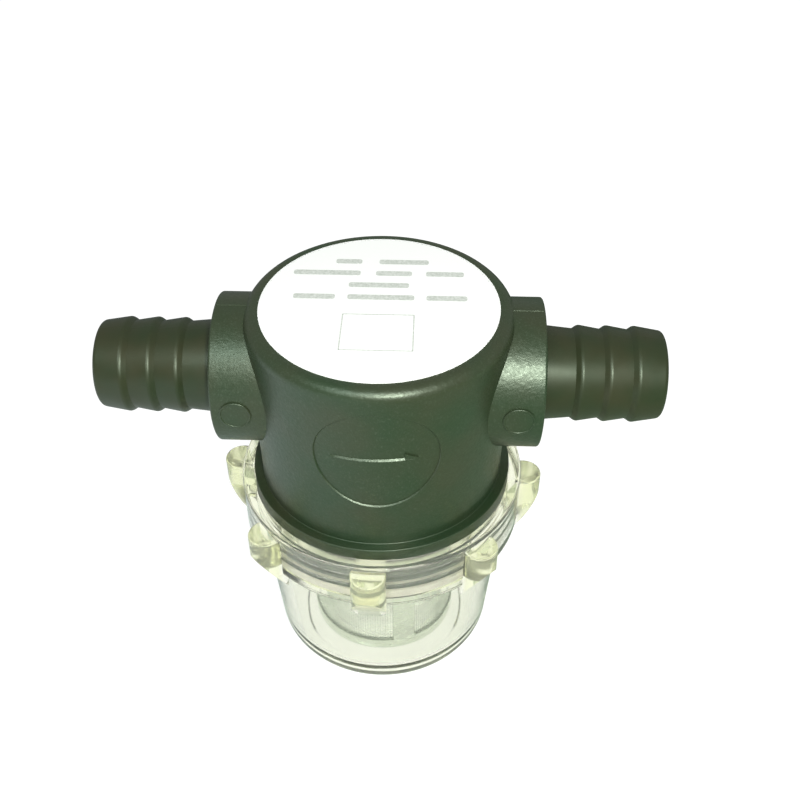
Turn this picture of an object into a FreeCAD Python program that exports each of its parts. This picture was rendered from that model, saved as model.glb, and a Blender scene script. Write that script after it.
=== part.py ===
import FreeCAD, Part
import math
import os

# In-line sea water strainer: a moulded head with two welded-in hose barbs, and a clear bowl
# that screws up under the head and carries a stainless mesh screen.
# Millimetres, +Z up. The origin is the centre of the bowl's foot, and the ports lie along X.

# ---- driving sizes: bowl ----
floor_thickness = 3.2          # cup floor
cup_wall = 2.8                 # cup wall at the gasket seat and below
seat_height = 37.6             # foot to the gasket seat
cup_taper = 2.9                # how much narrower the cup is at its foot than at the collar
foot_round = 2.8               # radius round the foot
foot_recess = 0.6              # depth of the hollow under the floor
recess_round = 0.5             # inside corner of that hollow
foot_land = 3.4                # width of the flat ring that the strainer stands on
floor_fillet = 2.5             # inside corner between wall and floor
seat_width = 3.25              # ledge that carries the gasket
collar_wall = 2.65             # collar wall outside the thread
collar_height = 11.4           # gasket seat to rim
collar_drop = 1.4              # how far the collar reaches below the gasket seat
collar_under_round = 1.2       # round under the collar
collar_fillet = 0.8            # inside corner between collar and cup
rim_round = 0.6                # round on the rim's outer edge
lug_count = 8
lug_angle = -2.5               # degrees from +X to the first lug
lug_radius = 3.9               # round grip post
lug_offset = 0.7               # post axis outside the collar's surface
lug_below_rim = 0.8            # post top under the rim
lug_edge = 0.5                 # round on the post's top edge
lug_side_height = 5.4          # straight height of the post at its outermost line
lug_slope = 61.0               # degrees from level, slant under the post
spigot_ring_height = 2.6       # ring on the floor that centres the screen
spigot_ring_wall = 1.5

# ---- driving sizes: thread and seal ----
thread_lead = 3.2
thread_depth = 1.3
thread_margin = 0.25           # plain length above and below the ridge
thread_base = 1.5              # ridge width at its root
thread_tip = 0.7               # ridge width at its crest
thread_sunk = 0.25             # how far a ridge is rooted in its wall
thread_gap = 0.35              # radial clearance, crest to root
gasket_thickness = 2.2
gasket_gap = 0.15              # radial clearance round the gasket

# ---- driving sizes: head ----
cavity_radius = 24.6           # inside of the head
skirt_wall = 3.4               # wall under the thread
head_wall = 2.7                # wall just above the shoulder
head_draft = 0.7               # how much wider the head is at its top
shoulder_height = 11.7         # gasket to the top of the shoulder
shoulder_band = 3.6            # height of the plain band above the thread
shoulder_edge = 0.2            # round on the shoulder's outer edge
shoulder_fillet = 0.2          # inside corner between shoulder and wall
port_rise = 25.5               # shoulder to the port axis
crown_rise = 16.77             # port axis to the head's flat top
crown_wall = 3.2
crown_round = 2.4              # round at the head's top edge
cavity_round = 2.0             # inside corner under the crown
boss_radius = 16.0
boss_reach = 34.0              # port boss face, from the middle
boss_edge = 0.5                # round at the boss face
pad_radius = 3.35              # round flat on each boss
pad_reach = 28.9               # pad centre, from the middle
pad_proud = 0.12               # pad face outside the boss
pad_root = 2.0                 # depth that ties the pad to the boss
insert_radius = 12.5           # shallow round of the mould insert on the front wall
insert_depth = 0.3
insert_slope = 0.25            # slant along the edge of that round
insert_across = 0.5            # its centre, from the middle
insert_drop = 1.2              # its centre, below the port axis
port_clearance = 0.4           # head's waterways wider than the barbs' bore
neck_wall = 2.4                # tube that leads the strained water up
duct_wall = 2.4                # wall of the duct from the neck to the outlet
spigot_length = 3.5            # part of the neck that enters the screen

# ---- driving sizes: hose barbs ----
hose_bore = 7.5                # radius of the waterway
barb_crest = 10.3              # radius where a rib's two slopes meet
barb_round = 1.0               # round along each rib
barb_root = 9.5                # radius behind each rib
barb_tip = 9.3                 # radius at the mouth
barb_pitch = 5.87
barb_count = 3
barb_drop = 1.2                # length of the step behind each rib
barb_lead = 6.07               # mouth to the first rib
barb_length = 25.6             # mouth to the boss face
barb_stem = 10.15              # radius where the barb leaves the boss
tip_round = 1.0                # round at the mouth
flange_radius = 11.15          # welded end inside the boss
socket_depth = 8.0
weld_groove = 0.9              # depth of the open groove at the boss face
socket_gap = 0.05              # radial clearance of the welded end

# ---- driving sizes: screen ----
screen_radius = 17.6           # outside of the mesh
mesh_thickness = 0.5
band_sheet = 0.35              # folded steel band at each end
band_height = 3.2
fold_gap = 0.05                # between mesh and folded band
screen_play = 0.3              # screen to neck, and round the centring rings
screen_below_shoulder = 2.0    # screen top under the head's shoulder
gap_columns = 16
gap_rows = 6
gap_share = 0.64               # open part of each pitch of the mesh
seam_width = 5.0
seam_angle = -72.0             # degrees from +X to the lapped seam

# ---- driving sizes: label ----
label_radius = 24.74
label_thickness = 0.15

spare = 1.0                    # how far a cutter runs past what it cuts
overlap = 0.5                  # how far a piece runs into the wall that it is fused with
near = 0.01                    # how close an edge must lie to its place to be picked

# ---- levels, worked out ----
collar_bottom_z = seat_height - collar_drop
rim_z = seat_height + collar_height
skirt_bottom_z = seat_height + gasket_thickness
shoulder_z = skirt_bottom_z + shoulder_height
band_bottom_z = shoulder_z - shoulder_band
thread_height = band_bottom_z - skirt_bottom_z - thread_base - 2 * thread_margin
thread_start_z = skirt_bottom_z + thread_margin + thread_base / 2
port_z = shoulder_z + port_rise
crown_z = port_z + crown_rise
ceiling_z = crown_z - crown_wall

# ---- radii, worked out ----
thread_root_radius = cavity_radius + skirt_wall
thread_crest_radius = thread_root_radius + thread_depth
bowl_major_radius = thread_crest_radius + thread_gap
bowl_minor_radius = thread_root_radius + thread_gap
collar_radius = bowl_major_radius + collar_wall
seat_radius = bowl_major_radius - seat_width
cup_top_radius = seat_radius + cup_wall
cup_foot_radius = cup_top_radius - cup_taper
cup_inner_foot_radius = cup_foot_radius - cup_wall
head_radius = cavity_radius + head_wall
head_top_radius = head_radius + head_draft

# ---- screen fits, worked out ----
band_outer = screen_radius + fold_gap + band_sheet
band_inner = screen_radius - mesh_thickness - fold_gap - band_sheet
spigot_radius = band_inner - screen_play
neck_radius = band_outer + screen_play
neck_bore = spigot_radius - neck_wall
port_bore = hose_bore + port_clearance
duct_radius = port_bore + duct_wall
socket_radius = flange_radius + socket_gap
socket_floor = boss_reach - socket_depth
mesh_z = floor_thickness + band_sheet
screen_top_z = shoulder_z - screen_below_shoulder
neck_step_z = screen_top_z + screen_play

Z_AXIS = FreeCAD.Vector(0, 0, 1)
X_AXIS = FreeCAD.Vector(1, 0, 0)
Y_AXIS = FreeCAD.Vector(0, 1, 0)
ORIGIN = FreeCAD.Vector(0, 0, 0)


def rounded_face(corners):
    """A face in the XZ plane from (x, z) corners, each with an optional corner radius."""
    count = len(corners)
    points = [FreeCAD.Vector(corner[0], 0, corner[1]) for corner in corners]
    starts, ends, arcs = [], [], []
    for index, corner in enumerate(corners):
        point = points[index]
        radius = corner[2] if len(corner) > 2 else 0
        back = (points[index - 1] - point).normalize()
        ahead = (points[(index + 1) % count] - point).normalize()
        if radius <= 0:
            starts.append(point)
            ends.append(point)
            arcs.append(None)
            continue
        half = back.getAngle(ahead) / 2
        reach = radius / math.tan(half)
        bisector = (back + ahead).normalize()
        starts.append(point + back * reach)
        ends.append(point + ahead * reach)
        middle = point + bisector * (radius / math.sin(half) - radius)
        arcs.append(Part.Arc(starts[-1], middle, ends[-1]).toShape())
    edges = []
    for index in range(count):
        if arcs[index]:
            edges.append(arcs[index])
        following = (index + 1) % count
        if (starts[following] - ends[index]).Length > 1e-6:
            edges.append(Part.LineSegment(ends[index], starts[following]).toShape())
    return Part.Face(Part.Wire(edges))


def turned(corners, axis=Z_AXIS):
    """A body turned about an axis through the origin, from its half section."""
    return rounded_face(corners).revolve(ORIGIN, axis, 360)


def rod(radius, start, end, centre=ORIGIN):
    """A round rod between two places along X, or along Z when start and end are heights."""
    return Part.makeCylinder(radius, end - start, centre + FreeCAD.Vector(start, 0, 0), X_AXIS)


def upright(radius, bottom, top, x=0, y=0):
    return Part.makeCylinder(radius, top - bottom, FreeCAD.Vector(x, y, bottom), Z_AXIS)


def ring(outer, inner, bottom, top):
    return upright(outer, bottom, top).cut(upright(inner, bottom - spare, top + spare))


def thread_ridge(foot_radius, crest_radius):
    """A helical ridge of trapezium section, sunk a little into the wall that carries it."""
    sunk = thread_sunk if crest_radius > foot_radius else -thread_sunk
    path = Part.makeHelix(thread_lead, thread_height, foot_radius)
    slope = (thread_base - thread_tip) / 2 / abs(crest_radius - foot_radius)
    base = thread_base / 2 + slope * abs(sunk)
    tip = thread_tip / 2
    corners = [(foot_radius - sunk, -base), (crest_radius, -tip), (crest_radius, tip),
               (foot_radius - sunk, base)]
    points = [FreeCAD.Vector(r, 0, z) for r, z in corners]
    section = Part.makePolygon(points + points[:1])
    ridge = Part.Wire(path.Edges).makePipeShell([section], True, True)
    ridge.translate(FreeCAD.Vector(0, 0, thread_start_z))
    return ridge


def insert_cutter():
    """The skin that the mould insert leaves out of the drafted front wall."""
    centre = FreeCAD.Vector(insert_across, -head_top_radius - spare, port_z - insert_drop)
    plug = Part.makeCylinder(insert_radius, head_top_radius + spare, centre, Y_AXIS)
    kept = turned([(0, shoulder_z), (head_radius - insert_depth, shoulder_z),
                   (head_top_radius - insert_depth, crown_z), (0, crown_z)])
    return plug.cut(kept)


def slanted(shell):
    """The head's wall with the edge of the mould insert slanted off."""
    centre = FreeCAD.Vector(insert_across, 0, port_z - insert_drop)
    draft = head_draft / (crown_z - shoulder_z)
    found = []
    for edge in shell.Edges:
        points = edge.discretize(5)
        across = [math.hypot(p.x - centre.x, p.z - centre.z) for p in points]
        proud = [math.hypot(p.x, p.y) - head_radius - draft * (p.z - shoulder_z) for p in points]
        if all(abs(a - insert_radius) < near and abs(b) < near for a, b in zip(across, proud)):
            found.append(edge)
    return shell.makeChamfer(insert_slope, found)


def make_head():
    shell = turned([
        (0, skirt_bottom_z),
        (thread_root_radius, skirt_bottom_z),
        (thread_root_radius, band_bottom_z),
        (thread_crest_radius, band_bottom_z),
        (thread_crest_radius, shoulder_z, shoulder_edge),
        (head_radius, shoulder_z, shoulder_fillet),
        (head_top_radius, crown_z, crown_round),
        (0, crown_z),
    ])
    shell = slanted(shell.cut(insert_cutter()))
    bosses = turned([(-boss_reach, 0), (-boss_reach, boss_radius, boss_edge),
                     (boss_reach, boss_radius, boss_edge), (boss_reach, 0)], X_AXIS)
    bosses.translate(FreeCAD.Vector(0, 0, port_z))
    shell = shell.fuse(bosses)
    for side in (-1, 1):
        pad_centre = FreeCAD.Vector(side * pad_reach, -boss_radius - pad_proud, port_z)
        pad = Part.makeCylinder(pad_radius, pad_root, pad_centre, Y_AXIS)
        shell = shell.fuse(pad)
    cavity = turned([(0, skirt_bottom_z - spare), (cavity_radius, skirt_bottom_z - spare),
                     (cavity_radius, ceiling_z, cavity_round), (0, ceiling_z)])
    shell = shell.cut(cavity)
    # the neck hangs from the crown, and its duct crosses the cavity to the outlet
    neck = upright(neck_radius, neck_step_z, ceiling_z + overlap)
    spigot_bottom_z = neck_step_z - spigot_length
    neck = neck.fuse(upright(spigot_radius, spigot_bottom_z, neck_step_z + overlap))
    centre = FreeCAD.Vector(0, 0, port_z)
    duct = rod(duct_radius, 0, cavity_radius + overlap, centre)
    web = Part.makeBox(cavity_radius + overlap, 2 * duct_radius, ceiling_z + overlap - port_z,
                       FreeCAD.Vector(0, -duct_radius, port_z))
    inner = neck.fuse([duct, web])
    inner = inner.common(upright(cavity_radius + overlap, spigot_bottom_z, ceiling_z + overlap))
    inner = inner.cut(upright(neck_bore, spigot_bottom_z - spare, ceiling_z))
    head = shell.fuse(inner)
    # waterways: the inlet opens outside the neck, the outlet inside it
    head = head.cut(rod(port_bore, -boss_reach, -neck_radius - spare, centre))
    head = head.cut(rod(port_bore, 0, boss_reach, centre))
    for side in (-1, 1):
        start = min(side * socket_floor, side * (boss_reach + spare))
        head = head.cut(rod(socket_radius, start, start + socket_depth + spare, centre))
    head = head.fuse(thread_ridge(thread_root_radius, thread_crest_radius))
    return head.removeSplitter()


def make_barb():
    """Outlet barb, pointing along +X from the socket floor."""
    mouth = boss_reach + barb_length
    first_edge = mouth - barb_lead
    corners = [(socket_floor, hose_bore), (socket_floor, flange_radius),
               (boss_reach - weld_groove, flange_radius), (boss_reach - weld_groove, barb_stem),
               (boss_reach, barb_stem)]
    for index in reversed(range(barb_count)):
        edge_x = first_edge - index * barb_pitch
        corners.append((edge_x - barb_drop, barb_root))
        corners.append((edge_x, barb_crest, barb_round))
    corners += [(mouth, barb_tip, tip_round), (mouth, hose_bore)]
    barb = turned(corners, X_AXIS)
    barb.translate(FreeCAD.Vector(0, 0, port_z))
    return barb


def make_lug():
    """One grip post on the +X side of the collar, slanted off below into the cup wall."""
    axis = collar_radius + lug_offset
    top = rim_z - lug_below_rim
    outer_foot = top - lug_side_height
    drop = 2 * lug_radius * math.tan(math.radians(lug_slope))
    post = turned([(0, outer_foot - drop), (lug_radius, outer_foot - drop),
                   (lug_radius, top, lug_edge), (0, top)])
    post.translate(FreeCAD.Vector(axis, 0, 0))
    side_y = -lug_radius - spare
    low = FreeCAD.Vector(axis - lug_radius, side_y, outer_foot - drop)
    high = FreeCAD.Vector(axis + lug_radius + spare, side_y,
                          outer_foot + spare * math.tan(math.radians(lug_slope)))
    corner = FreeCAD.Vector(high.x, low.y, low.z)
    wedge = Part.Face(Part.makePolygon([low, high, corner, low]))
    return post.cut(wedge.extrude(FreeCAD.Vector(0, -2 * side_y, 0)))


def make_bowl():
    recess_radius = cup_foot_radius - foot_round - foot_land
    outside = turned([
        (0, foot_recess),
        (recess_radius, foot_recess, recess_round),
        (recess_radius + foot_recess, 0),
        (cup_foot_radius, 0, foot_round),
        (cup_top_radius, collar_bottom_z, collar_fillet),
        (collar_radius, collar_bottom_z, collar_under_round),
        (collar_radius, rim_z, rim_round),
        (0, rim_z),
    ])
    lug = make_lug()
    lugs = []
    for index in range(lug_count):
        copy = lug.copy()
        copy.rotate(ORIGIN, Z_AXIS, lug_angle + index * 360 / lug_count)
        lugs.append(copy)
    outside = outside.fuse(lugs)
    inside = turned([
        (0, floor_thickness),
        (cup_inner_foot_radius, floor_thickness, floor_fillet),
        (seat_radius, seat_height),
        (bowl_major_radius, seat_height),
        (bowl_major_radius, rim_z + spare),
        (0, rim_z + spare),
    ])
    bowl = outside.cut(inside)
    centring = ring(spigot_radius, spigot_radius - spigot_ring_wall,
                    floor_thickness - overlap, floor_thickness + spigot_ring_height)
    bowl = bowl.fuse(centring)
    # half a turn on from the head's ridge, so that each lies midway between the other's turns
    ridge = thread_ridge(bowl_major_radius, bowl_minor_radius)
    ridge.rotate(ORIGIN, Z_AXIS, 180)
    return bowl.fuse(ridge).removeSplitter()


def make_gasket():
    return ring(bowl_major_radius - gasket_gap, seat_radius + gasket_gap, seat_height, skirt_bottom_z)


def make_screen():
    """The mesh tube: a thin wall with a regular pattern of gaps between its bands."""
    top = screen_top_z - band_sheet
    tube = ring(screen_radius, screen_radius - mesh_thickness, mesh_z, top)
    low = floor_thickness + band_height
    high = screen_top_z - band_height
    pitch_z = (high - low) / gap_rows
    pitch_angle = 360 / gap_columns
    width = gap_share * 2 * math.pi * screen_radius / gap_columns
    inner_reach = screen_radius - mesh_thickness - spare
    gaps = []
    for column in range(gap_columns):
        for row in range(gap_rows):
            bottom = low + (row + (1 - gap_share) / 2) * pitch_z
            gap = Part.makeBox(mesh_thickness + 2 * spare, width, gap_share * pitch_z,
                               FreeCAD.Vector(inner_reach, -width / 2, bottom))
            gap.rotate(ORIGIN, Z_AXIS, seam_angle + (column + 0.5) * pitch_angle)
            gaps.append(gap)
    return tube.cut(gaps)


def make_band(bottom, web_at_top):
    """A steel band folded over one end of the mesh: two legs joined by a flat web."""
    band = ring(band_outer, band_inner, bottom, bottom + band_height)
    slot_bottom = bottom - spare if web_at_top else bottom + band_sheet
    slot_top = bottom + band_height + (-band_sheet if web_at_top else spare)
    slot = ring(band_outer - band_sheet, band_inner + band_sheet, slot_bottom, slot_top)
    return band.cut(slot)


def make_seam():
    """The lapped seam strip that closes the mesh tube, between the two bands."""
    inner = screen_radius + fold_gap
    strip = ring(inner + band_sheet, inner, floor_thickness + band_height, screen_top_z - band_height)
    window = Part.makeBox(2 * inner, seam_width, 2 * screen_top_z, FreeCAD.Vector(0, -seam_width / 2, 0))
    strip = strip.common(window)
    strip.rotate(ORIGIN, Z_AXIS, seam_angle)
    return strip


def make_label():
    return upright(label_radius, crown_z, crown_z + label_thickness)


def main():
    outlet = make_barb()
    inlet = outlet.copy()
    inlet.rotate(FreeCAD.Vector(0, 0, port_z), Z_AXIS, 180)
    nodes = {
        "head": make_head(),
        "inlet_barb": inlet,
        "outlet_barb": outlet,
        "label": make_label(),
        "bowl": make_bowl(),
        "bowl_gasket": make_gasket(),
        "screen_mesh": make_screen(),
        "screen_top_band": make_band(screen_top_z - band_height, True),
        "screen_foot_band": make_band(floor_thickness, False),
        "screen_seam": make_seam(),
    }
    os.makedirs("parts", exist_ok=True)
    for name, shape in nodes.items():
        shape.exportStep(os.path.join("parts", name + ".step"))
        print(name, len(shape.Solids), shape.isValid(), round(shape.Volume, 1))


main()
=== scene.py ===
import math
from contextlib import contextmanager

import bmesh
import bpy
from mathutils import Matrix, Vector


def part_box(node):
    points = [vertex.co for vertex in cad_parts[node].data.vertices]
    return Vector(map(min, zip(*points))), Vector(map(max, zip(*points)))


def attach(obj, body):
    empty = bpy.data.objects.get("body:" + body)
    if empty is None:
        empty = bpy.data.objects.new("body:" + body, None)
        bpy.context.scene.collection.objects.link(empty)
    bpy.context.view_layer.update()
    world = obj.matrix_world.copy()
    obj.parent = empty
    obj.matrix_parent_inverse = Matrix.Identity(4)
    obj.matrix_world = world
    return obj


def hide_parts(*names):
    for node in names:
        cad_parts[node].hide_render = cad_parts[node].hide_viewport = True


bl_info = {
    "name": "Water strainer dressing",
    "version": (1, 0, 0),
    "blender": (4, 5, 0),
    "location": "View3D > Sidebar > Strainer",
    "description": "Finishes and fine pieces for a water strainer with a clear screw-on bowl",
    "category": "Object",
}

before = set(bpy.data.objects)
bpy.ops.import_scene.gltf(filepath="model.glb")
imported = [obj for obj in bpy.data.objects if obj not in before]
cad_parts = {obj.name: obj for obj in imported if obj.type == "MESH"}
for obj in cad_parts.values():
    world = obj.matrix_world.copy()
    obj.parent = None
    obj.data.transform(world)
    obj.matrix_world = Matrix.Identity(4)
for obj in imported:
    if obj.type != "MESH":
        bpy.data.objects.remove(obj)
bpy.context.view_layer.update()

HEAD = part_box("head")
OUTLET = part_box("outlet_barb")
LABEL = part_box("label")
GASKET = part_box("bowl_gasket")
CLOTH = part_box("screen_mesh")
TOP_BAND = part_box("screen_top_band")
FOOT_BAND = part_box("screen_foot_band")
MM = 0.001
NEAR = 0.01 * MM         # how close to its place a point must lie to be picked
MERGE = 0.002 * MM       # points closer than this become one
PORT_Z = (OUTLET[0].z + OUTLET[1].z) / 2
BOSS_FACE = HEAD[1].x
TURN = 2 * math.pi
WHITE = (1.0, 1.0, 1.0)
LEFT_SHEEN = (0.92, 1.0, 1.05)
RIGHT_SHEEN = (0.42, 0.55, 0.40)


# ---------------------------------------------------------------- settings

def length(name, description, default):
    return bpy.props.FloatProperty(name=name, description=description, default=default,
                                   subtype="DISTANCE", unit="LENGTH", precision=6)


def colour(name, description, default):
    return bpy.props.FloatVectorProperty(name=name, description=description, default=default,
                                         subtype="COLOR", size=3, min=0.0, max=1.0)


def angle(name, description, degrees):
    return bpy.props.FloatProperty(name=name, description=description,
                                   default=math.radians(degrees), subtype="ANGLE", unit="ROTATION")


def amount(name, description, default):
    return bpy.props.FloatProperty(name=name, description=description, default=default, min=0.0)


class StrainerFinishes(bpy.types.PropertyGroup):
    head: colour("Head plastic", "Glass-filled black moulding", (0.012, 0.030, 0.010))
    head_warm: colour("Head plastic, warm", "Warmer patches of the same moulding",
                      (0.024, 0.030, 0.012))
    fleck: colour("Fleck", "Glass fibre at the moulding's skin", (0.070, 0.092, 0.062))
    barb: colour("Barb plastic", "Smoother black moulding", (0.016, 0.024, 0.007))
    barb_warm: colour("Barb plastic, warm", "Warmer patches of the same moulding",
                      (0.026, 0.025, 0.008))
    sheen: colour("Sheen", "Tint of the light that the black plastics reflect", (0.84, 1.0, 0.80))
    grain: length("Grain", "Spacing of the moulded grain", 0.36 * MM)
    clear: colour("Clear plastic", "Skin of the clear bowl", (0.99, 1.0, 0.955))
    clear_body: colour("Clear body", "Light that the bowl's thick places let through",
                       (0.98, 0.992, 0.85))
    clear_depth: length("Clear depth", "Thickness that takes on the body's colour", 12 * MM)
    post_tint: colour("Grip posts", "Tint of the bowl's thick grip posts", (0.93, 0.955, 0.70))
    post_start: length("Post start", "Radius at which the grip posts leave the collar", 32.3 * MM)
    paper: colour("Paper", "Label stock", (0.93, 0.935, 0.93))
    ink: colour("Ink", "Grey printing", (0.50, 0.53, 0.49))
    seal: colour("Seal", "Pale rubber of the gasket", (0.97, 0.93, 0.86))
    steel: colour("Steel", "Stainless steel", (0.82, 0.88, 0.79))


class StrainerCloth(bpy.types.PropertyGroup):
    uprights: bpy.props.IntProperty(name="Uprights", description="Upright wires round the tube",
                                    default=184, min=24)
    pitch: length("Ring pitch", "Height from one ring wire to the next", 0.6 * MM)
    wire: length("Wire", "Diameter of the wires", 0.18 * MM)
    thickness: length("Cloth", "Thickness of the woven tube", 0.5 * MM)
    end_gap: length("End gap", "How far the wires stay inside the tube's ends", 0.05 * MM)


class StrainerSheet(bpy.types.PropertyGroup):
    sheet: length("Sheet", "Thickness of the folded steel", 0.33 * MM)
    fold: length("Fold", "Radius of the fold", 0.22 * MM)
    leg_gap: length("Leg gap", "From the outer leg to the inner one", 1.28 * MM)
    leg_share: amount("Inner leg", "Height of the inner leg as a share of the outer one", 0.94)
    band_edge: length("Band edge", "Round at a band's free edges", 0.06 * MM)
    seam_edge: length("Seam edge", "Round at the seam strip's edges", 0.08 * MM)
    play: length("Play", "Air between a steel piece and what it fits in", 0.01 * MM)
    clear_floor: length("Off the floor", "Air under the foot band", 0.04 * MM)
    seam_radius: length("Seam radius", "Inside of the lapped seam", 17.66 * MM)
    seam_width: length("Seam width", "Width of the lap", 5.0 * MM)
    seam_angle: angle("Seam angle", "Place of the seam, from the outlet", -72.0)
    welds: bpy.props.IntProperty(name="Welds", description="Spot welds along the seam",
                                 default=8, min=2)
    weld_radius: length("Weld radius", "Radius of a spot weld", 0.75 * MM)
    weld_rise: amount("Weld rise", "Height of a spot weld as a share of its radius", 0.12)
    weld_dish: length("Weld dish", "Depth of the dish in a spot weld", 0.03 * MM)


class StrainerMoulding(bpy.types.PropertyGroup):
    gasket_width: length("Gasket width", "From the gasket's outside to its bore", 2.95 * MM)
    gasket_round: length("Gasket round", "Round at the gasket's corners", 0.35 * MM)
    gasket_play: length("Gasket play", "Air above and below the gasket", 0.03 * MM)
    arrow_length: length("Arrow length", "Length of the flow arrow", 17.5 * MM)
    arrow_line: length("Arrow line", "Height and depth of its ridged line", 1.0 * MM)
    arrow_tip: length("Arrow tip", "Height of its one-sided tip", 1.6 * MM)
    arrow_tip_length: length("Arrow tip length", "Length of its one-sided tip", 2.6 * MM)
    arrow_drop: length("Arrow drop", "Arrow below the port's axis", 0.75 * MM)
    arrow_proud: length("Arrow relief", "How far the arrow stands off the recess", 0.34 * MM)
    arrow_sunk: length("Arrow root", "How far the tip is rooted in the wall", 0.4 * MM)
    arrow_edge: length("Arrow edge", "Round at the tip's edges", 0.12 * MM)
    tip_fall: amount("Tip fall", "How far the tip slopes down, as a share of its height", 0.85)
    pad_reach: length("Pad reach", "Middle of each boss's round pad, from the centre", 28.9 * MM)
    pad_radius: length("Pad radius", "Radius of those pads", 3.35 * MM)
    pad_bead: length("Pad bead", "Radius of the bead round each pad", 0.27 * MM)
    parting_start: length("Parting start", "Where the parting line leaves the head", 25.9 * MM)
    parting_end: length("Parting end", "From the parting line to the boss's face", 0.5 * MM)
    parting_crest: amount("Parting crest", "Width of the line's crest as a share of its foot", 0.15)
    parting_top: length("Boss radius", "Radius of the boss under the parting line", 16.0 * MM)
    parting_width: length("Parting line", "Width of the mould's parting line", 0.24 * MM)
    parting_proud: length("Parting relief", "How far the parting line stands off", 0.10 * MM)
    flash_radius: length("Weld flash", "Radius of the flash bead round a welded barb", 0.19 * MM)
    flash_ring: length("Flash ring", "Radius of the ring that the bead follows", 11.12 * MM)
    flash_sunk: length("Flash root", "How far the bead's middle is sunk in the boss", 0.02 * MM)
    flash_wave: length("Flash wave", "Length of the bead's waves", 1.4 * MM)
    flash_rough: amount("Flash relief", "Height of the waves as a share of the bead's radius", 0.9)


class StrainerLabel(bpy.types.PropertyGroup):
    corner: length("Edge round", "Round at the label's edge", 0.05 * MM)
    ink_height: length("Bar height", "Height of a printed bar", 1.75 * MM)
    row_pitch: length("Row pitch", "From one printed row to the next", 4.35 * MM)
    first_row: length("First row", "First printed row, behind the centre", 15.6 * MM)
    ink: length("Ink", "Thickness of the printing", 0.012 * MM)
    ink_depth: length("Ink depth", "Middle of the printing, under the label's top", 0.008 * MM)
    bar_round: amount("Bar round", "Round of a bar's corners as a share of its height", 0.3)
    border: length("Border", "Plain edge inside the label's round", 0.6 * MM)
    frame_width: length("Frame width", "Width of the empty frame", 14.4 * MM)
    frame_back: length("Frame back", "Back line of the frame, from the centre", -3.4 * MM)
    frame_front: length("Frame front", "Front line of the frame, from the centre", -15.0 * MM)
    frame_line: length("Frame line", "Width of the frame's lines", 0.28 * MM)


class StrainerStage(bpy.types.PropertyGroup):
    aim: bpy.props.FloatVectorProperty(name="Aim", description="Point that the camera looks at",
                                       default=(4.374 * MM, -4.321 * MM, 71.918 * MM),
                                       subtype="TRANSLATION", unit="LENGTH", precision=6)
    distance: length("Distance", "Camera to aim", 217.881 * MM)
    turn: angle("Turn", "Camera's turn round the strainer", -1.972)
    height: angle("Height", "Camera's angle above the level", 41.325)
    roll: angle("Roll", "Camera's roll", -0.046)
    lens: bpy.props.FloatProperty(name="Lens", description="Focal length", default=45.61,
                                  subtype="DISTANCE_CAMERA")
    floor: length("Floor", "Half the width of the floor", 1.6)
    floor_gap: length("Floor gap", "From the strainer's foot down to the floor", 0.03 * MM)
    floor_depth: length("Floor depth", "Thickness of the floor", 10 * MM)
    floor_tone: colour("Floor", "Floor, as the light from it falls on the strainer",
                       (0.80, 0.82, 0.79))
    floor_glow: amount("Floor glow", "Light that the floor sends to the camera", 0.88)
    shadow: amount("Shadow", "Part of the floor's brightness that a shadow takes away", 0.28)
    sky: colour("Sky", "Light from all round", (0.96, 1.0, 0.95))
    sky_strength: amount("Sky strength", "Strength of that light", 0.47)
    gloss_low: amount("Horizon", "Sky in reflections, at the horizon", 0.38)
    gloss_high: amount("High sky", "Sky in reflections, high up", 0.36)
    key_power: amount("Key lamp", "Power of the lamp near the camera", 0.90)
    side_power: amount("Side lamp", "Power of the cooler lamp", 1.75)


# ---------------------------------------------------------------- hand tools

def clear_selection():
    if bpy.context.mode != "OBJECT":
        bpy.ops.object.mode_set(mode="OBJECT")
    bpy.ops.object.select_all(action="DESELECT")


@contextmanager
def editing():
    """Edit mode on the active piece, for the lines inside."""
    bpy.ops.object.mode_set(mode="EDIT")
    yield
    bpy.ops.object.mode_set(mode="OBJECT")


def take(piece):
    """Select one piece alone and make it active."""
    clear_selection()
    piece.select_set(True)
    bpy.context.view_layer.objects.active = piece
    return piece


def added(name):
    """Name the primitive that was just added."""
    piece = bpy.context.active_object
    piece.name = name
    piece.data.name = name
    return piece


def pick(piece, kind, test):
    """In edit mode, select the vertices, edges or faces whose place passes the test."""
    bpy.ops.mesh.select_mode(type=kind)
    bpy.ops.mesh.select_all(action="DESELECT")
    shape = bmesh.from_edit_mesh(piece.data)
    turned = piece.matrix_world
    if kind == "VERT":
        for vert in shape.verts:
            vert.select_set(bool(test(turned @ vert.co)))
    elif kind == "EDGE":
        for edge in shape.edges:
            edge.select_set(all(test(turned @ vert.co) for vert in edge.verts))
    else:
        for face in shape.faces:
            face.select_set(bool(test(turned @ face.calc_center_median(), face.normal)))
    shape.select_flush_mode()
    bmesh.update_edit_mesh(piece.data)


def place_in_mesh(piece):
    take(piece)
    bpy.ops.object.transform_apply(location=True, rotation=True, scale=True)


def modifier(piece, kind, **values):
    """Add a modifier, set it and apply it."""
    take(piece)
    made = piece.modifiers.new(kind.title(), kind)
    for key, value in values.items():
        setattr(made, key, value)
    bpy.ops.object.modifier_apply(modifier=made.name)


def joined(pieces, name):
    take(pieces[0])
    for piece in pieces:
        piece.select_set(True)
    if len(pieces) > 1:
        bpy.ops.object.join()
    return added(name)


def copied(piece):
    """A copy with its own mesh."""
    take(piece)
    bpy.ops.object.duplicate(linked=False)
    return bpy.context.active_object


def outward(piece):
    take(piece)
    with editing():
        bpy.ops.mesh.select_all(action="SELECT")
        bpy.ops.mesh.remove_doubles(threshold=MERGE)
        bpy.ops.mesh.normals_make_consistent(inside=False)


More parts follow.
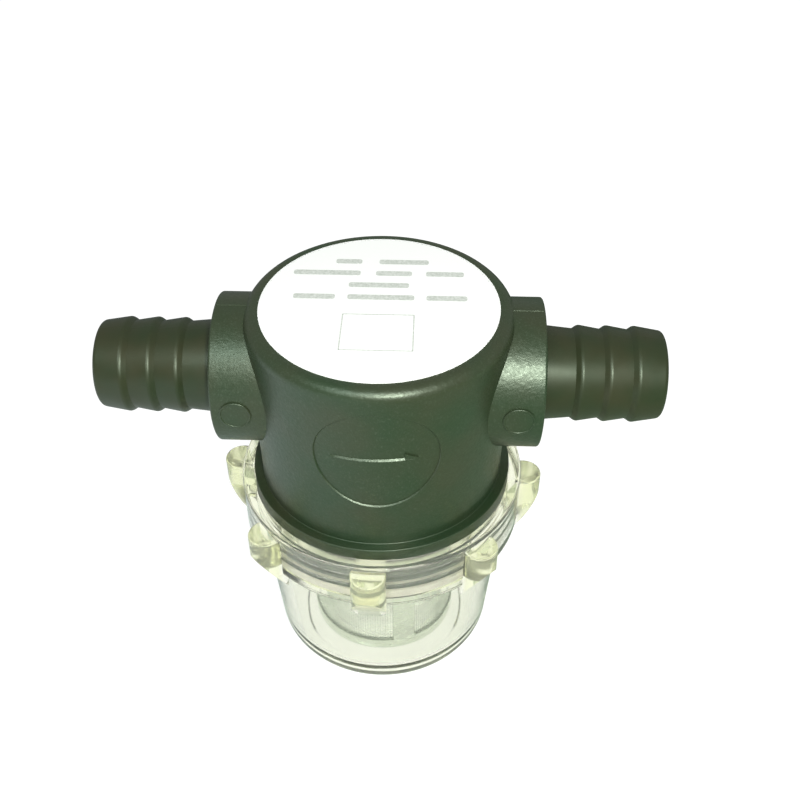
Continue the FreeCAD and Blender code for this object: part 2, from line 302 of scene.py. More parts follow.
def dressed(piece, body, material, smooth=35.0, stands_for=()):
    """Last steps for every piece: place, shading, finish and the body that carries it."""
    place_in_mesh(piece)
    bpy.ops.object.shade_smooth_by_angle(angle=math.radians(smooth))
    piece.data.materials.clear()
    piece.data.materials.append(material)
    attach(piece, body)
    if stands_for:
        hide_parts(*stands_for)
    clear_selection()
    return piece


# ---------------------------------------------------------------- finishes

class Nodes:
    """A small helper to lay out the nodes of a material, or of the world."""

    def __init__(self, name, world=False):
        self.made = (bpy.data.worlds if world else bpy.data.materials).new(name)
        self.made.use_nodes = True
        self.tree = self.made.node_tree
        self.tree.nodes.clear()
        self.output = self.add("ShaderNodeOutputWorld" if world else "ShaderNodeOutputMaterial")
        place = self.add("ShaderNodeTexCoord")
        self.place = place.outputs["Generated" if world else "Object"]

    def add(self, kind, inputs=None, **values):
        node = self.tree.nodes.new(kind)
        for key, value in values.items():
            setattr(node, key, value)
        for key, value in (inputs or {}).items():
            self.feed(value, node.inputs[key])
        return node

    def feed(self, value, socket):
        if isinstance(value, bpy.types.NodeSocket):
            self.tree.links.new(value, socket)
        elif isinstance(value, (tuple, list)) and len(value) == 3 and socket.type == "RGBA":
            socket.default_value = (*value, 1.0)
        else:
            socket.default_value = value

    def noise(self, size, detail=2.0, rough=0.5, stretch=(1, 1, 1)):
        """Noise with features of a given size in metres."""
        place = self.place
        if stretch != (1, 1, 1):
            place = self.add("ShaderNodeMapping", {"Vector": place, "Scale": stretch}).outputs[0]
        node = self.add("ShaderNodeTexNoise", {"Vector": place, "Scale": 1 / size, "Detail": detail,
                                               "Roughness": rough})
        return node.outputs["Fac"]

    def steps(self, value, low, high, to_low, to_high):
        node = self.add("ShaderNodeMapRange", {"Value": value, "From Min": low, "From Max": high,
                                               "To Min": to_low, "To Max": to_high})
        return node.outputs["Result"]

    def blend(self, part, first, second):
        node = self.add("ShaderNodeMix", data_type="RGBA")
        self.feed(part, node.inputs["Factor"])
        # sockets 6, 7 and 2 are the node's colours
        self.feed(first, node.inputs[6])
        self.feed(second, node.inputs[7])
        return node.outputs[2]

    def math(self, operation, first, second):
        return self.add("ShaderNodeMath", {0: first, 1: second}, operation=operation).outputs[0]

    def mix(self, part, first, second):
        """One of two shaders, by a ray's kind."""
        return self.add("ShaderNodeMixShader", {0: part, 1: first, 2: second}).outputs[0]

    def glow(self, tone, strength):
        return self.add("ShaderNodeEmission", {"Color": tone, "Strength": strength}).outputs[0]

    def surface(self, shader):
        self.tree.links.new(shader, self.output.inputs["Surface"])

    def bump(self, height, strength, depth, under=None):
        inputs = {"Height": height, "Strength": strength, "Distance": depth}
        if under is not None:
            inputs["Normal"] = under
        return self.add("ShaderNodeBump", inputs).outputs["Normal"]

    def shade(self, **inputs):
        shader = self.add("ShaderNodeBsdfPrincipled")
        for key, value in inputs.items():
            self.feed(value, shader.inputs[key.replace("_", " ")])
        self.surface(shader.outputs["BSDF"])


def moulded_black(finish):
    """Glass-filled black plastic: hard grain, a green cast in its sheen, a little colour drift."""
    n = Nodes("moulded_black")
    patches = n.steps(n.noise(14 * MM, 2.0), 0.38, 0.66, 0.0, 1.0)
    tone = n.blend(patches, tuple(finish.head), tuple(finish.head_warm))
    fibre = n.steps(n.noise(finish.grain, 3.0, 0.6, (1, 1, 0.6)), 0.54, 0.73, 0.0, 0.38)
    tone = n.blend(fibre, tone, tuple(finish.fleck))
    rough = n.steps(n.noise(finish.grain * 2.2, 3.0, 0.6), 0.3, 0.7, 0.34, 0.46)
    fine = n.bump(n.noise(finish.grain, 2.0, 0.6), 1.0, 0.035 * MM)
    grain = n.bump(n.noise(finish.grain * 2.8, 2.0), 1.0, 0.055 * MM, fine)
    n.shade(Base_Color=tone, Roughness=rough, Normal=grain, IOR=1.6, Specular_IOR_Level=0.75,
            Specular_Tint=tuple(finish.sheen))
    return n.made


def moulded_barb(finish):
    """Unfilled black plastic, smoother, with faint turned lines round the barb."""
    n = Nodes("moulded_barb")
    drift = n.steps(n.noise(9 * MM, 2.0), 0.35, 0.7, 0.0, 1.0)
    tone = n.blend(drift, tuple(finish.barb), tuple(finish.barb_warm))
    rough = n.steps(n.noise(4 * MM, 2.0), 0.3, 0.7, 0.38, 0.48)
    rings = n.bump(n.noise(1.3 * MM, 1.0, 0.5, (2.0, 0.1, 0.1)), 0.3, 0.012 * MM)
    n.shade(Base_Color=tone, Roughness=rough, Normal=rings, IOR=1.52, Specular_IOR_Level=0.7,
            Specular_Tint=tuple(finish.sheen))
    return n.made


def clear_moulding(finish):
    """Clear plastic with a yellow-green body colour, faint moulding waves and a little haze."""
    n = Nodes("clear_moulding")
    waves = n.bump(n.noise(5 * MM, 1.0, 0.4), 0.12, 0.03 * MM)
    # the thick grip posts are the haziest, then the collar; the cup's wall is clearest
    spot = n.add("ShaderNodeSeparateXYZ", {0: n.place}).outputs
    flat = n.add("ShaderNodeCombineXYZ", {"X": spot["X"], "Y": spot["Y"]}).outputs[0]
    reach = n.add("ShaderNodeVectorMath", {0: flat}, operation="LENGTH").outputs["Value"]
    post = n.steps(reach, finish.post_start, finish.post_start + 1.2 * MM, 0.0, 1.0)
    collar = n.steps(spot["Z"], GASKET[0].z - 1.5 * MM, GASKET[0].z + 1.5 * MM, 0.0, 0.3)
    foot = n.steps(spot["Z"], 1.5 * MM, 5 * MM, 0.4, 0.0)
    thick = n.math("MAXIMUM", post, n.math("MAXIMUM", collar, foot))
    tone = n.blend(post, tuple(finish.clear), tuple(finish.post_tint))
    rough = n.steps(thick, 0.0, 1.0, 0.03, 0.17)
    cloud = n.steps(n.noise(7 * MM, 3.0), 0.3, 0.7, 0.18, 0.28)
    clearness = n.steps(n.math("MULTIPLY", thick, cloud), 0.0, 1.0, 0.99, 0.0)
    n.shade(Base_Color=tone, Roughness=rough, Normal=waves, IOR=1.48,
            Specular_Tint=(0.35, 0.35, 0.35), Transmission_Weight=clearness)
    body = n.add("ShaderNodeVolumeAbsorption", {"Color": tuple(finish.clear_body),
                                                "Density": 1 / finish.clear_depth})
    n.tree.links.new(body.outputs["Volume"], n.output.inputs["Volume"])
    return n.made


def paper_label(finish):
    """Matt white label stock with a faint fibre."""
    n = Nodes("paper_label")
    fibre = n.steps(n.noise(0.8 * MM, 4.0, 0.6), 0.3, 0.7, 0.0, 1.0)
    tone = n.blend(fibre, tuple(finish.paper), tuple(0.985 * part for part in finish.paper))
    n.shade(Base_Color=tone, Roughness=0.62, Normal=n.bump(fibre, 0.1, 0.01 * MM),
            Specular_IOR_Level=0.3)
    return n.made


def grey_ink(finish):
    """Worn grey printing: uneven cover on the paper."""
    n = Nodes("grey_ink")
    cover = n.steps(n.noise(0.55 * MM, 3.0, 0.6), 0.35, 0.68, 0.0, 0.40)
    tone = n.blend(cover, tuple(finish.ink), tuple(finish.paper))
    n.shade(Base_Color=tone, Roughness=0.6, Specular_IOR_Level=0.3)
    return n.made


def pale_seal(finish):
    """Pale moulded rubber."""
    n = Nodes("pale_seal")
    drift = n.steps(n.noise(3 * MM, 3.0), 0.3, 0.7, 0.0, 1.0)
    tone = n.blend(drift, tuple(finish.seal), tuple(0.9 * part for part in finish.seal))
    n.shade(Base_Color=tone, Roughness=0.55, Normal=n.bump(n.noise(0.4 * MM), 0.2, 0.01 * MM))
    return n.made


def rolled_steel(finish):
    """Rolled stainless sheet, brushed round the screen."""
    n = Nodes("rolled_steel")
    brush = n.noise(0.7 * MM, 3.0, 0.6, (0.25, 0.25, 4.0))
    tone = n.blend(n.steps(brush, 0.3, 0.7, 0.0, 1.0), tuple(finish.steel),
                   tuple(0.82 * part for part in finish.steel))
    n.shade(Base_Color=tone, Metallic=1.0, Roughness=n.steps(brush, 0.3, 0.7, 0.22, 0.36),
            Normal=n.bump(brush, 0.15, 0.006 * MM))
    return n.made


def woven_steel(finish):
    """Drawn stainless wire, a little dulled by water."""
    n = Nodes("woven_steel")
    stain = n.steps(n.noise(4 * MM, 3.0), 0.35, 0.7, 0.0, 1.0)
    tone = n.blend(stain, tuple(finish.steel), tuple(0.78 * part for part in finish.steel))
    n.shade(Base_Color=tone, Metallic=1.0, Roughness=n.steps(stain, 0.0, 1.0, 0.26, 0.42))
    return n.made


FINISHES = {
    "moulded_black": moulded_black,
    "moulded_barb": moulded_barb,
    "clear_moulding": clear_moulding,
    "paper_label": paper_label,
    "grey_ink": grey_ink,
    "pale_seal": pale_seal,
    "rolled_steel": rolled_steel,
    "woven_steel": woven_steel,
}


def finish_named(context, name):
    """The material of that name, made on its first use."""
    if name not in bpy.data.materials:
        FINISHES[name](context.scene.strainer_finishes)
    return bpy.data.materials[name]


# ---------------------------------------------------------------- operators

class STRAINER_OT_mouldings(bpy.types.Operator):
    """Give the head, the barbs and the bowl their plastics"""
    bl_idname = "strainer.mouldings"
    bl_label = "Finish the mouldings"

    def execute(self, context):
        wanted = {"head": "moulded_black", "inlet_barb": "moulded_barb",
                  "outlet_barb": "moulded_barb", "bowl": "clear_moulding"}
        for node, name in wanted.items():
            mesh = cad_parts[node].data
            if not mesh.materials:
                mesh.materials.append(None)
            for index in range(len(mesh.materials)):
                mesh.materials[index] = finish_named(context, name)
        return {"FINISHED"}


class STRAINER_OT_label(bpy.types.Operator):
    """Round paper label with plain printed bars and an empty frame"""
    bl_idname = "strainer.label"
    bl_label = "Label"

    # each printed row: (middle, width) of its bars in millimetres
    rows = (((-7.2, 5.6), (4.6, 10.6)),
            ((-11.6, 14.2), (2.6, 7.6), (13.4, 8.0)),
            ((-0.4, 12.6),),
            ((-13.6, 8.6), (0.2, 13.8), (13.8, 8.4)))

    def execute(self, context):
        values = context.scene.strainer_label
        top = LABEL[1].z
        paper_top = top - values.ink
        clear_selection()
        bpy.ops.mesh.primitive_cylinder_add(
            vertices=192, radius=LABEL[1].x, depth=paper_top - LABEL[0].z,
            location=(0, 0, (paper_top + LABEL[0].z) / 2))
        paper = added("label_paper")
        with editing():
            pick(paper, "FACE", lambda spot, normal: normal.z > 0.9)
            bpy.ops.mesh.bevel(offset=values.corner, segments=3, affect="EDGES")
            pick(paper, "FACE", lambda spot, normal: normal.z > 0.99)
            bpy.ops.mesh.inset(thickness=values.border)
        dressed(paper, "head_body", finish_named(context, "paper_label"),
                stands_for=("label",))
        bars = []
        for index, row in enumerate(self.rows):
            y = values.first_row - index * values.row_pitch
            for middle, width in row:
                bars.append(self.bar(values, middle * MM, y, width * MM, values.ink_height))
        bars += self.frame_bars(values)
        ink = joined(bars, "label_print")
        dressed(ink, "head_body", finish_named(context, "grey_ink"))
        return {"FINISHED"}

    @staticmethod
    def bar(values, x, y, width, height):
        """One printed bar with rounded corners."""
        clear_selection()
        bpy.ops.mesh.primitive_cube_add(size=1, location=(x, y, LABEL[1].z - values.ink_depth),
                                        scale=(width, height, values.ink))
        piece = added("bar")
        place_in_mesh(piece)
        with editing():
            shape = bmesh.from_edit_mesh(piece.data)
            bpy.ops.mesh.select_mode(type="EDGE")
            bpy.ops.mesh.select_all(action="DESELECT")
            for edge in shape.edges:
                first, second = edge.verts
                edge.select_set(abs(first.co.z - second.co.z) > values.ink / 2)
            bmesh.update_edit_mesh(piece.data)
            bpy.ops.mesh.bevel(offset=min(width, height) * values.bar_round, segments=3)
        return piece

    def frame_bars(self, values):
        """An empty rectangle, drawn in thin lines, under the printed rows."""
        back, front, line = values.frame_back, values.frame_front, values.frame_line
        side, middle = values.frame_width / 2, (back + front) / 2
        return ([self.bar(values, 0, y, values.frame_width, line) for y in (back, front)]
                + [self.bar(values, x, middle, line, back - front) for x in (-side, side)])


class STRAINER_OT_screen_cloth(bpy.types.Operator):
    """Woven wire tube: straight upright wires, and ring wires that pass in and out of them"""
    bl_idname = "strainer.screen_cloth"
    bl_label = "Screen cloth"

    def execute(self, context):
        values = context.scene.strainer_cloth
        middle = CLOTH[1].x - values.thickness / 2
        swing = values.wire
        low = CLOTH[0].z + values.end_gap
        high = CLOTH[1].z - values.end_gap
        rings = self.ring_wires(values, middle, swing, low, high)
        uprights = self.upright_wires(values, middle, low, high)
        steel = finish_named(context, "woven_steel")
        dressed(rings, "screen_body", steel, 75.0, ("screen_mesh",))
        dressed(uprights, "screen_body", steel, 75.0, ("screen_mesh",))
        return {"FINISHED"}

    @staticmethod
    def ring_wires(values, middle, swing, low, high):
        """Two ring wires that swing to opposite sides of each upright, stacked up the tube."""
        step = TURN / values.uprights
        pair = []
        for phase in (0, 1):
            clear_selection()
            bpy.ops.mesh.primitive_torus_add(
                major_segments=values.uprights, minor_segments=4, major_radius=middle,
                minor_radius=values.wire / 2,
                location=(0, 0, low + (phase + 0.5) * values.pitch))
            wire = added("ring_wire")
            with editing():
                for side, factor in ((0, 1 + swing / middle), (1, 1 - swing / middle)):
                    pick(wire, "VERT", lambda spot: round(math.atan2(spot.y, spot.x) / step) % 2
                         == (side + phase) % 2)
                    bpy.ops.transform.resize(value=(factor, factor, 1), center_override=(0, 0, 0))
            pair.append(wire)
        wires = joined(pair, "screen_ring_wires")
        count = int((high - low) / values.pitch / 2)
        modifier(wires, "ARRAY", count=count, use_relative_offset=False,
                 use_constant_offset=True, constant_offset_displace=(0, 0, 2 * values.pitch))
        return wires

    @staticmethod
    def upright_wires(values, middle, low, high):
        """One upright wire, spun into all of them."""
        clear_selection()
        bpy.ops.mesh.primitive_cylinder_add(
            vertices=6, radius=values.wire / 2, depth=high - low,
            location=(middle, 0, (high + low) / 2))
        wire = added("screen_upright_wires")
        place_in_mesh(wire)
        with editing():
            bpy.ops.mesh.select_all(action="SELECT")
            steps = values.uprights - 1
            bpy.ops.mesh.spin(steps=steps, dupli=True, angle=TURN * steps / values.uprights,
                              use_auto_merge=False, center=(0, 0, 0), axis=(0, 0, 1))
        return wire


class STRAINER_OT_screen_bands(bpy.types.Operator):
    """Folded steel bands at both ends of the woven tube"""
    bl_idname = "strainer.screen_bands"
    bl_label = "Screen bands"

    def execute(self, context):
        values = context.scene.strainer_sheet
        steel = finish_named(context, "rolled_steel")
        for name, box, fold_up in (("screen_band_top", TOP_BAND, True),
                                   ("screen_band_foot", FOOT_BAND, False)):
            node = "screen_top_band" if fold_up else "screen_foot_band"
            band = self.band(values, name, box, fold_up)
            dressed(band, "screen_body", steel, 40.0, (node,))
        return {"FINISHED"}

    @staticmethod
    def band(values, name, box, fold_up):
        """A tube whose edge is drawn inwards and turned back, then given the sheet's thickness."""
        outer = box[1].x - values.play
        low = box[0].z + (0 if fold_up else values.clear_floor)
        high = box[1].z
        clear_selection()
        bpy.ops.mesh.primitive_cylinder_add(vertices=160, radius=outer, depth=high - low,
                                            end_fill_type="NOTHING",
                                            location=(0, 0, (low + high) / 2))
        piece = added(name)
        place_in_mesh(piece)
        fold_z = high if fold_up else low
        inner = outer - values.leg_gap
        with editing():
            pick(piece, "EDGE", lambda spot: abs(spot.z - fold_z) < NEAR)
            factor = inner / outer
            bpy.ops.mesh.extrude_edges_move(TRANSFORM_OT_translate={"value": (0, 0, 0)})
            bpy.ops.transform.resize(value=(factor, factor, 1), center_override=(0, 0, fold_z))
            leg = (low - high if fold_up else high - low) * values.leg_share
            bpy.ops.mesh.extrude_edges_move(TRANSFORM_OT_translate={"value": (0, 0, leg)})
            pick(piece, "EDGE", lambda spot: abs(spot.z - fold_z) < NEAR)
            # the two circles of the fold, without the short edges between them
            shape = bmesh.from_edit_mesh(piece.data)
            for edge in shape.edges:
                first, second = edge.verts
                if abs(first.co.xy.length - second.co.xy.length) > values.leg_gap / 2:
                    edge.select_set(False)
            bmesh.update_edit_mesh(piece.data)
            bpy.ops.mesh.bevel(offset=values.fold * 1.6, segments=4, affect="EDGES")
        outward_side(piece)
        modifier(piece, "SOLIDIFY", thickness=values.sheet, offset=-1.0)
        modifier(piece, "BEVEL", width=values.band_edge, segments=2, limit_method="ANGLE",
                 angle_limit=math.radians(60))
        return piece


def outward_side(piece):
    """Turn an open folded sheet so that its outer face looks away from the axis."""
    outward(piece)
    mesh = piece.data
    tall = max(mesh.polygons, key=lambda face: face.center.xy.length)
    if tall.normal.xy.dot(tall.center.xy) < 0:
        take(piece)
        with editing():
            bpy.ops.mesh.select_all(action="SELECT")
            bpy.ops.mesh.flip_normals()


class STRAINER_OT_screen_seam(bpy.types.Operator):
    """Lapped seam strip with its row of spot welds"""
    bl_idname = "strainer.screen_seam"
    bl_label = "Screen seam"

    def execute(self, context):
        values = context.scene.strainer_sheet
        low, high = FOOT_BAND[1].z, TOP_BAND[0].z
        half = values.seam_width / 2 / values.seam_radius
        outer = values.seam_radius + values.sheet
        clear_selection()
        bpy.ops.mesh.primitive_cylinder_add(vertices=480, radius=values.seam_radius,
                                            depth=high - low - 2 * values.play,
                                            end_fill_type="NOTHING",
                                            location=(0, 0, (low + high) / 2))
        strip = added("screen_seam_strip")
        place_in_mesh(strip)
        with editing():
            pick(strip, "FACE", lambda spot, normal: abs(off_angle(spot, values.seam_angle)) > half)
            bpy.ops.mesh.delete(type="FACE")
        outward_side(strip)
        modifier(strip, "SOLIDIFY", thickness=values.sheet, offset=1.0)
        modifier(strip, "BEVEL", width=values.seam_edge, segments=2, limit_method="ANGLE",
                 angle_limit=math.radians(50))
        dots = []
        pitch = (high - low) / values.welds
        clear_selection()
        bpy.ops.mesh.primitive_uv_sphere_add(segments=20, ring_count=8, radius=values.weld_radius)
        weld = added("weld")
        weld.scale = (values.weld_rise, 1, 1)
        place_in_mesh(weld)
        with editing():
            dish = 0.3 * values.weld_radius
            pick(weld, "VERT", lambda spot: spot.yz.length < dish and spot.x > 0)
            bpy.ops.transform.translate(value=(-values.weld_dish, 0, 0))
        for index in range(values.welds):
            dot = copied(weld)
            dot.matrix_world = (Matrix.Rotation(values.seam_angle, 4, "Z")
                                @ Matrix.Translation((outer, 0, low + (index + 0.5) * pitch)))
            dots.append(dot)
        take(weld)
        bpy.ops.object.delete()
        for dot in dots:
            place_in_mesh(dot)
        seam = joined([strip] + dots, "screen_seam_strip")
        dressed(seam, "screen_body", finish_named(context, "rolled_steel"), 40.0,
                ("screen_seam",))
        return {"FINISHED"}


def off_angle(spot, middle):
    """Signed angle of a point round the upright axis, measured from a given angle."""
    return (math.atan2(spot.y, spot.x) - middle + math.pi) % TURN - math.pi


class STRAINER_OT_gasket(bpy.types.Operator):
    """Moulded sealing ring with rounded corners"""
    bl_idname = "strainer.gasket"
    bl_label = "Gasket"

    def execute(self, context):
        values = context.scene.strainer_moulding
        outer = GASKET[1].x
        low, high = GASKET[0].z + values.gasket_play, GASKET[1].z - values.gasket_play
        clear_selection()
        bpy.ops.mesh.primitive_cylinder_add(vertices=192, radius=outer, depth=high - low,
                                            end_fill_type="NOTHING",
                                            location=(0, 0, (low + high) / 2))
        ring = added("gasket_ring")
        outward_side(ring)
        modifier(ring, "SOLIDIFY", thickness=values.gasket_width, offset=-1.0)
        modifier(ring, "BEVEL", width=values.gasket_round, segments=4, limit_method="ANGLE",
                 angle_limit=math.radians(60))
        dressed(ring, "bowl_body", finish_named(context, "pale_seal"), 40.0,
                ("bowl_gasket",))
        return {"FINISHED"}


class STRAINER_OT_flow_arrow(bpy.types.Operator):
    """Raised flow arrow in the round recess on the head's front, curved with the wall"""
    bl_idname = "strainer.flow_arrow"
    bl_label = "Flow arrow"

    def execute(self, context):
        values = context.scene.strainer_moulding
        z = PORT_Z - values.arrow_drop
        half = values.arrow_length / 2
        wall = wall_radius(z)
        # the tip's block reaches past both faces of the shell that trims it
        spare_front, spare_back = 1.0 * MM, 1.5 * MM
        front = -wall - spare_front
        back = -math.sqrt(wall ** 2 - half ** 2) + spare_back
        tip_x = half - values.arrow_tip_length / 2
        tip = self.block("arrow_tip", tip_x, z + values.arrow_tip / 2,
                         values.arrow_tip_length, values.arrow_tip, front, back)
        with editing():
            pick(tip, "VERT", lambda spot: spot.z > z + values.arrow_tip / 2 and spot.x > tip_x)
            bpy.ops.transform.translate(value=(0, 0, -values.tip_fall * values.arrow_tip))
        skin = self.wall_skin(values, z)
        modifier(tip, "BOOLEAN", operation="INTERSECT", object=skin, solver="EXACT")
        take(skin)
        bpy.ops.object.delete()
        outward(tip)
        modifier(tip, "BEVEL", width=values.arrow_edge, segments=2, limit_method="ANGLE",
                 angle_limit=math.radians(50))
        line = self.ridge(values, z, half / wall)
        arrow = joined([line, tip], "flow_arrow")
        dressed(arrow, "head_body", finish_named(context, "moulded_black"), 20.0)
        return {"FINISHED"}

    @staticmethod
    def ridge(values, z, half_angle):
        """The arrow's line: a ridge with two flat slopes, bent round the wall."""
        size = values.arrow_line / 2
        front = -math.pi / 2
        clear_selection()
        bpy.ops.mesh.primitive_torus_add(
            major_segments=720, minor_segments=4, minor_radius=size,
            major_radius=wall_radius(z) + values.arrow_proud - size, location=(0, 0, z))
        line = added("arrow_line")
        place_in_mesh(line)
        with editing():
            pick(line, "FACE", lambda spot, normal: abs(off_angle(spot, front)) > half_angle)
            bpy.ops.mesh.delete(type="FACE")
            bpy.ops.mesh.select_all(action="SELECT")
            bpy.ops.mesh.fill_holes(sides=0)
            # the ends run out into the wall
            pick(line, "VERT", lambda spot: abs(off_angle(spot, front)) > 0.97 * half_angle)
            bpy.ops.transform.translate(value=(0, 0.3 * size, 0))
        outward(line)
        return line

    @staticmethod
    def block(name, x, z, width, height, front, back):
        """A bar that reaches through the wall from front to back."""
        clear_selection()
        bpy.ops.mesh.primitive_cube_add(size=1, location=(x, (front + back) / 2, z),
                                        scale=(width, back - front, height))
        piece = added(name)
        place_in_mesh(piece)
        return piece

    @staticmethod
    def wall_skin(values, z):
        """A thin shell that stands off the recess by the arrow's relief."""
        low, high = z - 2.5 * values.arrow_tip, z + 2.5 * values.arrow_tip
        proud = values.arrow_proud
        clear_selection()
        bpy.ops.mesh.primitive_cone_add(
            vertices=384, radius1=wall_radius(low) + proud, radius2=wall_radius(high) + proud,
            depth=high - low, end_fill_type="NOTHING", location=(0, 0, (low + high) / 2))
        skin = added("wall_skin")
        outward_side(skin)
        modifier(skin, "SOLIDIFY", thickness=proud + values.arrow_sunk, offset=-1.0)
        return skin


def wall_depth(x, z):
    """Where the front of the head stands at a place across and a height."""
    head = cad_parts["head"]
    into = head.matrix_world.inverted()
    start = Vector((x, 1.1 * HEAD[0].y, z))
    found, spot, _, _ = head.ray_cast(
        into @ start, into.to_3x3() @ Vector((0, 1, 0)),
        depsgraph=bpy.context.evaluated_depsgraph_get())
    if not found:
        raise RuntimeError("the head has no wall at this place")
    return (head.matrix_world @ spot).y


def wall_radius(z):
    return -wall_depth(0, z)


class STRAINER_OT_moulding_lines(bpy.types.Operator):
    """Parting lines and pad beads on the port bosses, and the weld flash round the barbs"""
    bl_idname = "strainer.moulding_lines"
    bl_label = "Moulding lines"

    def execute(self, context):
        values = context.scene.strainer_moulding
        black = finish_named(context, "moulded_black")
        line = self.parting_line(values)
        other = copied(line)
        other.matrix_world = Matrix.Rotation(math.pi, 4, "Z")
        lines = joined([line, other], "boss_parting_lines")
        dressed(lines, "head_body", black, 30.0)
        rim = self.pad_bead(values)
        other = copied(rim)
        other.location.x = -values.pad_reach
        rims = joined([rim, other], "pad_beads")
        dressed(rims, "head_body", black, 60.0)
        bead = self.flash(values)
        other = copied(bead)
        other.matrix_world = Matrix.Rotation(math.pi, 4, "Z")
        beads = joined([bead, other], "weld_flash")
        dressed(beads, "head_body", finish_named(context, "moulded_barb"), 60.0)
        return {"FINISHED"}

    @staticmethod
    def parting_line(values):
        """A thin ridge along the top of the outlet boss."""
        start, end = values.parting_start, BOSS_FACE - values.parting_end
        top = PORT_Z + values.parting_top
        clear_selection()
        bpy.ops.mesh.primitive_cube_add(
            size=1, location=((start + end) / 2, 0, top),
            scale=(end - start, values.parting_width, 2 * values.parting_proud))
        line = added("parting_line")
        place_in_mesh(line)
        with editing():
            pick(line, "FACE", lambda spot, normal: normal.z > 0.9)
            bpy.ops.transform.resize(value=(1, values.parting_crest, 1))
        return line

    @staticmethod
    def pad_bead(values):
        """A fine bead round the pad on the outlet boss, half sunk in its face."""
        face = wall_depth(values.pad_reach, PORT_Z)
        clear_selection()
        bpy.ops.mesh.primitive_torus_add(
            major_segments=96, minor_segments=10, major_radius=values.pad_radius - values.pad_bead,
            minor_radius=values.pad_bead, rotation=(math.pi / 2, 0, 0),
            location=(values.pad_reach, face + values.pad_bead / 2, PORT_Z))
        return added("pad_bead")

    @staticmethod
    def flash(values):
        """An uneven bead where the barb was spun into its boss."""
        clear_selection()
        bpy.ops.mesh.primitive_torus_add(
            major_segments=180, minor_segments=8, major_radius=values.flash_ring,
            minor_radius=values.flash_radius, rotation=(0, math.pi / 2, 0),
            location=(BOSS_FACE - values.flash_sunk, 0, PORT_Z))
        bead = added("flash_bead")
        place_in_mesh(bead)
        with editing():
            bpy.ops.mesh.select_all(action="SELECT")
            bpy.ops.mesh.subdivide(number_cuts=1)
        waves = bpy.data.textures.new("flash_waves", "CLOUDS")
        waves.noise_scale = values.flash_wave
        modifier(bead, "DISPLACE", texture=waves, texture_coords="OBJECT",
                 strength=values.flash_radius * values.flash_rough, mid_level=0.5)
        return bead


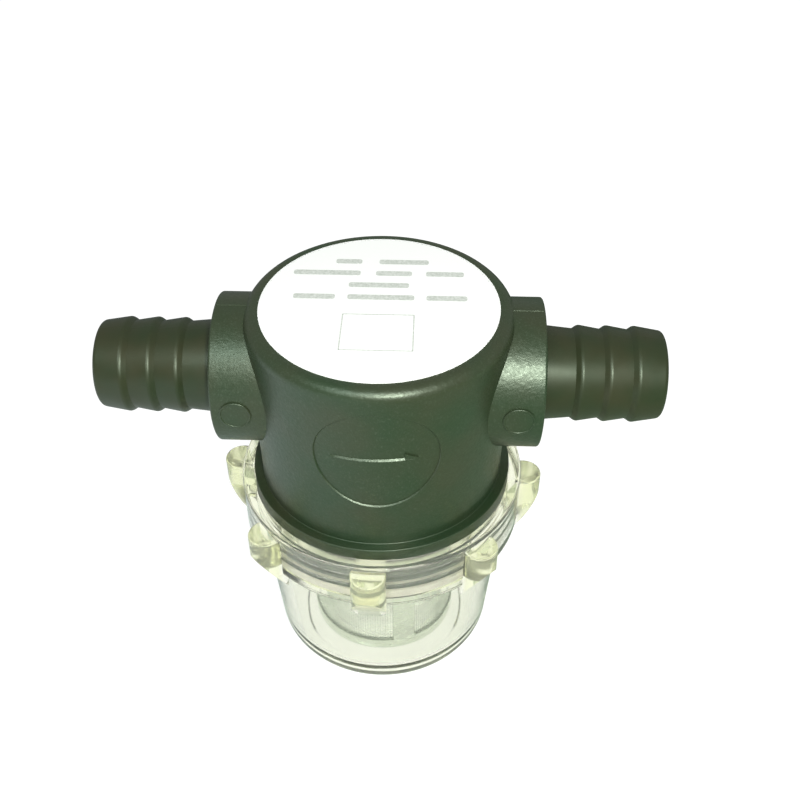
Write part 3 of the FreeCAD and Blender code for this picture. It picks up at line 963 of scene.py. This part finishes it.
class STRAINER_OT_stage(bpy.types.Operator):
    """Pale floor, plain soft light and the camera"""
    bl_idname = "strainer.stage"
    bl_label = "Stage"

    def execute(self, context):
        values = context.scene.strainer_stage
        self.floor(values)
        self.sky(context, values)
        self.lamps(values)
        self.camera(context, values)
        context.scene.view_settings.view_transform = "Standard"
        return {"FINISHED"}

    @staticmethod
    def floor(values):
        """A wide flat floor that is white to the camera and keeps the strainer's shadow."""
        clear_selection()
        bpy.ops.mesh.primitive_circle_add(vertices=96, radius=values.floor, fill_type="NGON",
                                          location=(0, 0, -values.floor_gap))
        floor = added("floor")
        place_in_mesh(floor)
        with editing():
            bpy.ops.mesh.select_all(action="SELECT")
            bpy.ops.mesh.extrude_region_move(
                TRANSFORM_OT_translate={"value": (0, 0, -values.floor_depth)})
        outward(floor)
        n = Nodes("floor_white")
        rays = n.add("ShaderNodeLightPath").outputs
        plain = n.add("ShaderNodeBsdfDiffuse", {"Color": tuple(values.floor_tone)}).outputs[0]
        # sheen on the black plastics: cooler to the left of the strainer, greener to the right,
        # and dimmer behind it
        spot = n.add("ShaderNodeSeparateXYZ", {0: n.place}).outputs
        cast = n.blend(n.steps(spot["X"], -0.14, 0.05, 0.0, 1.0), LEFT_SHEEN, RIGHT_SHEEN)
        room = n.glow(cast, n.steps(spot["Y"], 0.05, 0.30, 0.88, 0.25))
        shaded = n.add("ShaderNodeBsdfDiffuse", {"Color": 3 * (values.shadow,)}).outputs[0]
        pale = n.add("ShaderNodeAddShader", {0: shaded, 1: n.glow(WHITE, values.floor_glow)})
        unseen = n.mix(rays["Is Glossy Ray"], plain, room)
        through = n.mix(rays["Is Transmission Ray"], unseen, n.glow(WHITE, 1.0))
        n.surface(n.mix(rays["Is Camera Ray"], through, pale.outputs[0]))
        floor.data.materials.append(n.made)
        clear_selection()

    @staticmethod
    def sky(context, values):
        """White for what the camera and the glass see, a dimmer room for gloss and for light."""
        n = Nodes("room", world=True)
        context.scene.world = n.made

        def background(tone, strength):
            return n.add("ShaderNodeBackground", {"Color": tone, "Strength": strength}).outputs[0]

        rays = n.add("ShaderNodeLightPath").outputs
        up = n.add("ShaderNodeSeparateXYZ", {0: n.place}).outputs["Z"]
        gloss = background(tuple(values.sky), n.steps(up, 0.02, 0.35, values.gloss_low,
                                                      values.gloss_high))
        light = background(tuple(values.sky), values.sky_strength)
        seen = n.math("MAXIMUM", rays["Is Camera Ray"], rays["Is Transmission Ray"])
        n.surface(n.mix(seen, n.mix(rays["Is Glossy Ray"], light, gloss), background(WHITE, 1.0)))

    @staticmethod
    def lamps(values):
        """The key lamp stands by the camera, and a cooler one higher to the left."""
        aim = Vector(values.aim)
        # name, degrees round and up, distance from the aim, width, power, tint
        for name, azimuth, rise, far, size, power, tint in (
                ("key_lamp", -77.2, 39.5, 0.32, 0.035, values.key_power, (1.0, 1.0, 0.95)),
                ("side_lamp", -116, 52, 0.85, 0.34, values.side_power, (0.90, 0.97, 1.0))):
            turn, up = math.radians(azimuth), math.radians(rise)
            away = Vector((math.cos(up) * math.cos(turn), math.cos(up) * math.sin(turn),
                           math.sin(up)))
            clear_selection()
            bpy.ops.object.light_add(type="AREA", location=aim + far * away,
                                     rotation=away.to_track_quat("Z", "Y").to_euler())
            lamp = bpy.context.active_object
            lamp.name = name
            lamp.data.name = name
            lamp.data.shape = "DISK"
            lamp.data.size = size
            lamp.data.energy = power
            lamp.data.color = tint

    @staticmethod
    def camera(context, values):
        turn, up = values.turn, values.height
        away = Vector((-math.sin(turn) * math.cos(up), -math.cos(turn) * math.cos(up),
                       math.sin(up)))
        clear_selection()
        bpy.ops.object.camera_add(location=Vector(values.aim) + values.distance * away)
        camera = bpy.context.active_object
        camera.name = "camera"
        level = away.to_track_quat("Z", "Y").to_matrix().to_4x4()
        camera.rotation_euler = (level @ Matrix.Rotation(values.roll, 4, "Z")).to_euler()
        camera.data.lens = values.lens
        camera.data.sensor_width = 36
        camera.data.clip_start = 0.01
        camera.data.clip_end = 20
        context.scene.camera = camera


class STRAINER_PT_panel(bpy.types.Panel):
    """Buttons and sizes for dressing the strainer"""
    bl_idname = "STRAINER_PT_panel"
    bl_label = "Water strainer"
    bl_space_type = "VIEW_3D"
    bl_region_type = "UI"
    bl_category = "Strainer"

    def draw(self, context):
        column = self.layout.column()
        for operator in OPERATORS:
            column.operator(operator.bl_idname)
        for name in SETTINGS:
            box = column.box()
            group = getattr(context.scene, name)
            for key in group.__annotations__:
                box.prop(group, key)


OPERATORS = (STRAINER_OT_mouldings, STRAINER_OT_label, STRAINER_OT_screen_cloth,
             STRAINER_OT_screen_bands, STRAINER_OT_screen_seam, STRAINER_OT_gasket,
             STRAINER_OT_flow_arrow, STRAINER_OT_moulding_lines, STRAINER_OT_stage)
SETTINGS = {
    "strainer_finishes": StrainerFinishes,
    "strainer_cloth": StrainerCloth,
    "strainer_sheet": StrainerSheet,
    "strainer_moulding": StrainerMoulding,
    "strainer_label": StrainerLabel,
    "strainer_stage": StrainerStage,
}


def register():
    for group in SETTINGS.values():
        bpy.utils.register_class(group)
    for operator in OPERATORS:
        bpy.utils.register_class(operator)
    bpy.utils.register_class(STRAINER_PT_panel)
    for name, group in SETTINGS.items():
        setattr(bpy.types.Scene, name, bpy.props.PointerProperty(type=group))


def unregister():
    for name in SETTINGS:
        delattr(bpy.types.Scene, name)
    bpy.utils.unregister_class(STRAINER_PT_panel)
    for operator in reversed(OPERATORS):
        bpy.utils.unregister_class(operator)
    for group in reversed(list(SETTINGS.values())):
        bpy.utils.unregister_class(group)


def main():
    register()
    bpy.ops.strainer.mouldings()
    bpy.ops.strainer.label()
    bpy.ops.strainer.screen_cloth()
    bpy.ops.strainer.screen_bands()
    bpy.ops.strainer.screen_seam()
    bpy.ops.strainer.gasket()
    bpy.ops.strainer.flow_arrow()
    bpy.ops.strainer.moulding_lines()
    bpy.ops.strainer.stage()


if __name__ == "__main__":
    main()
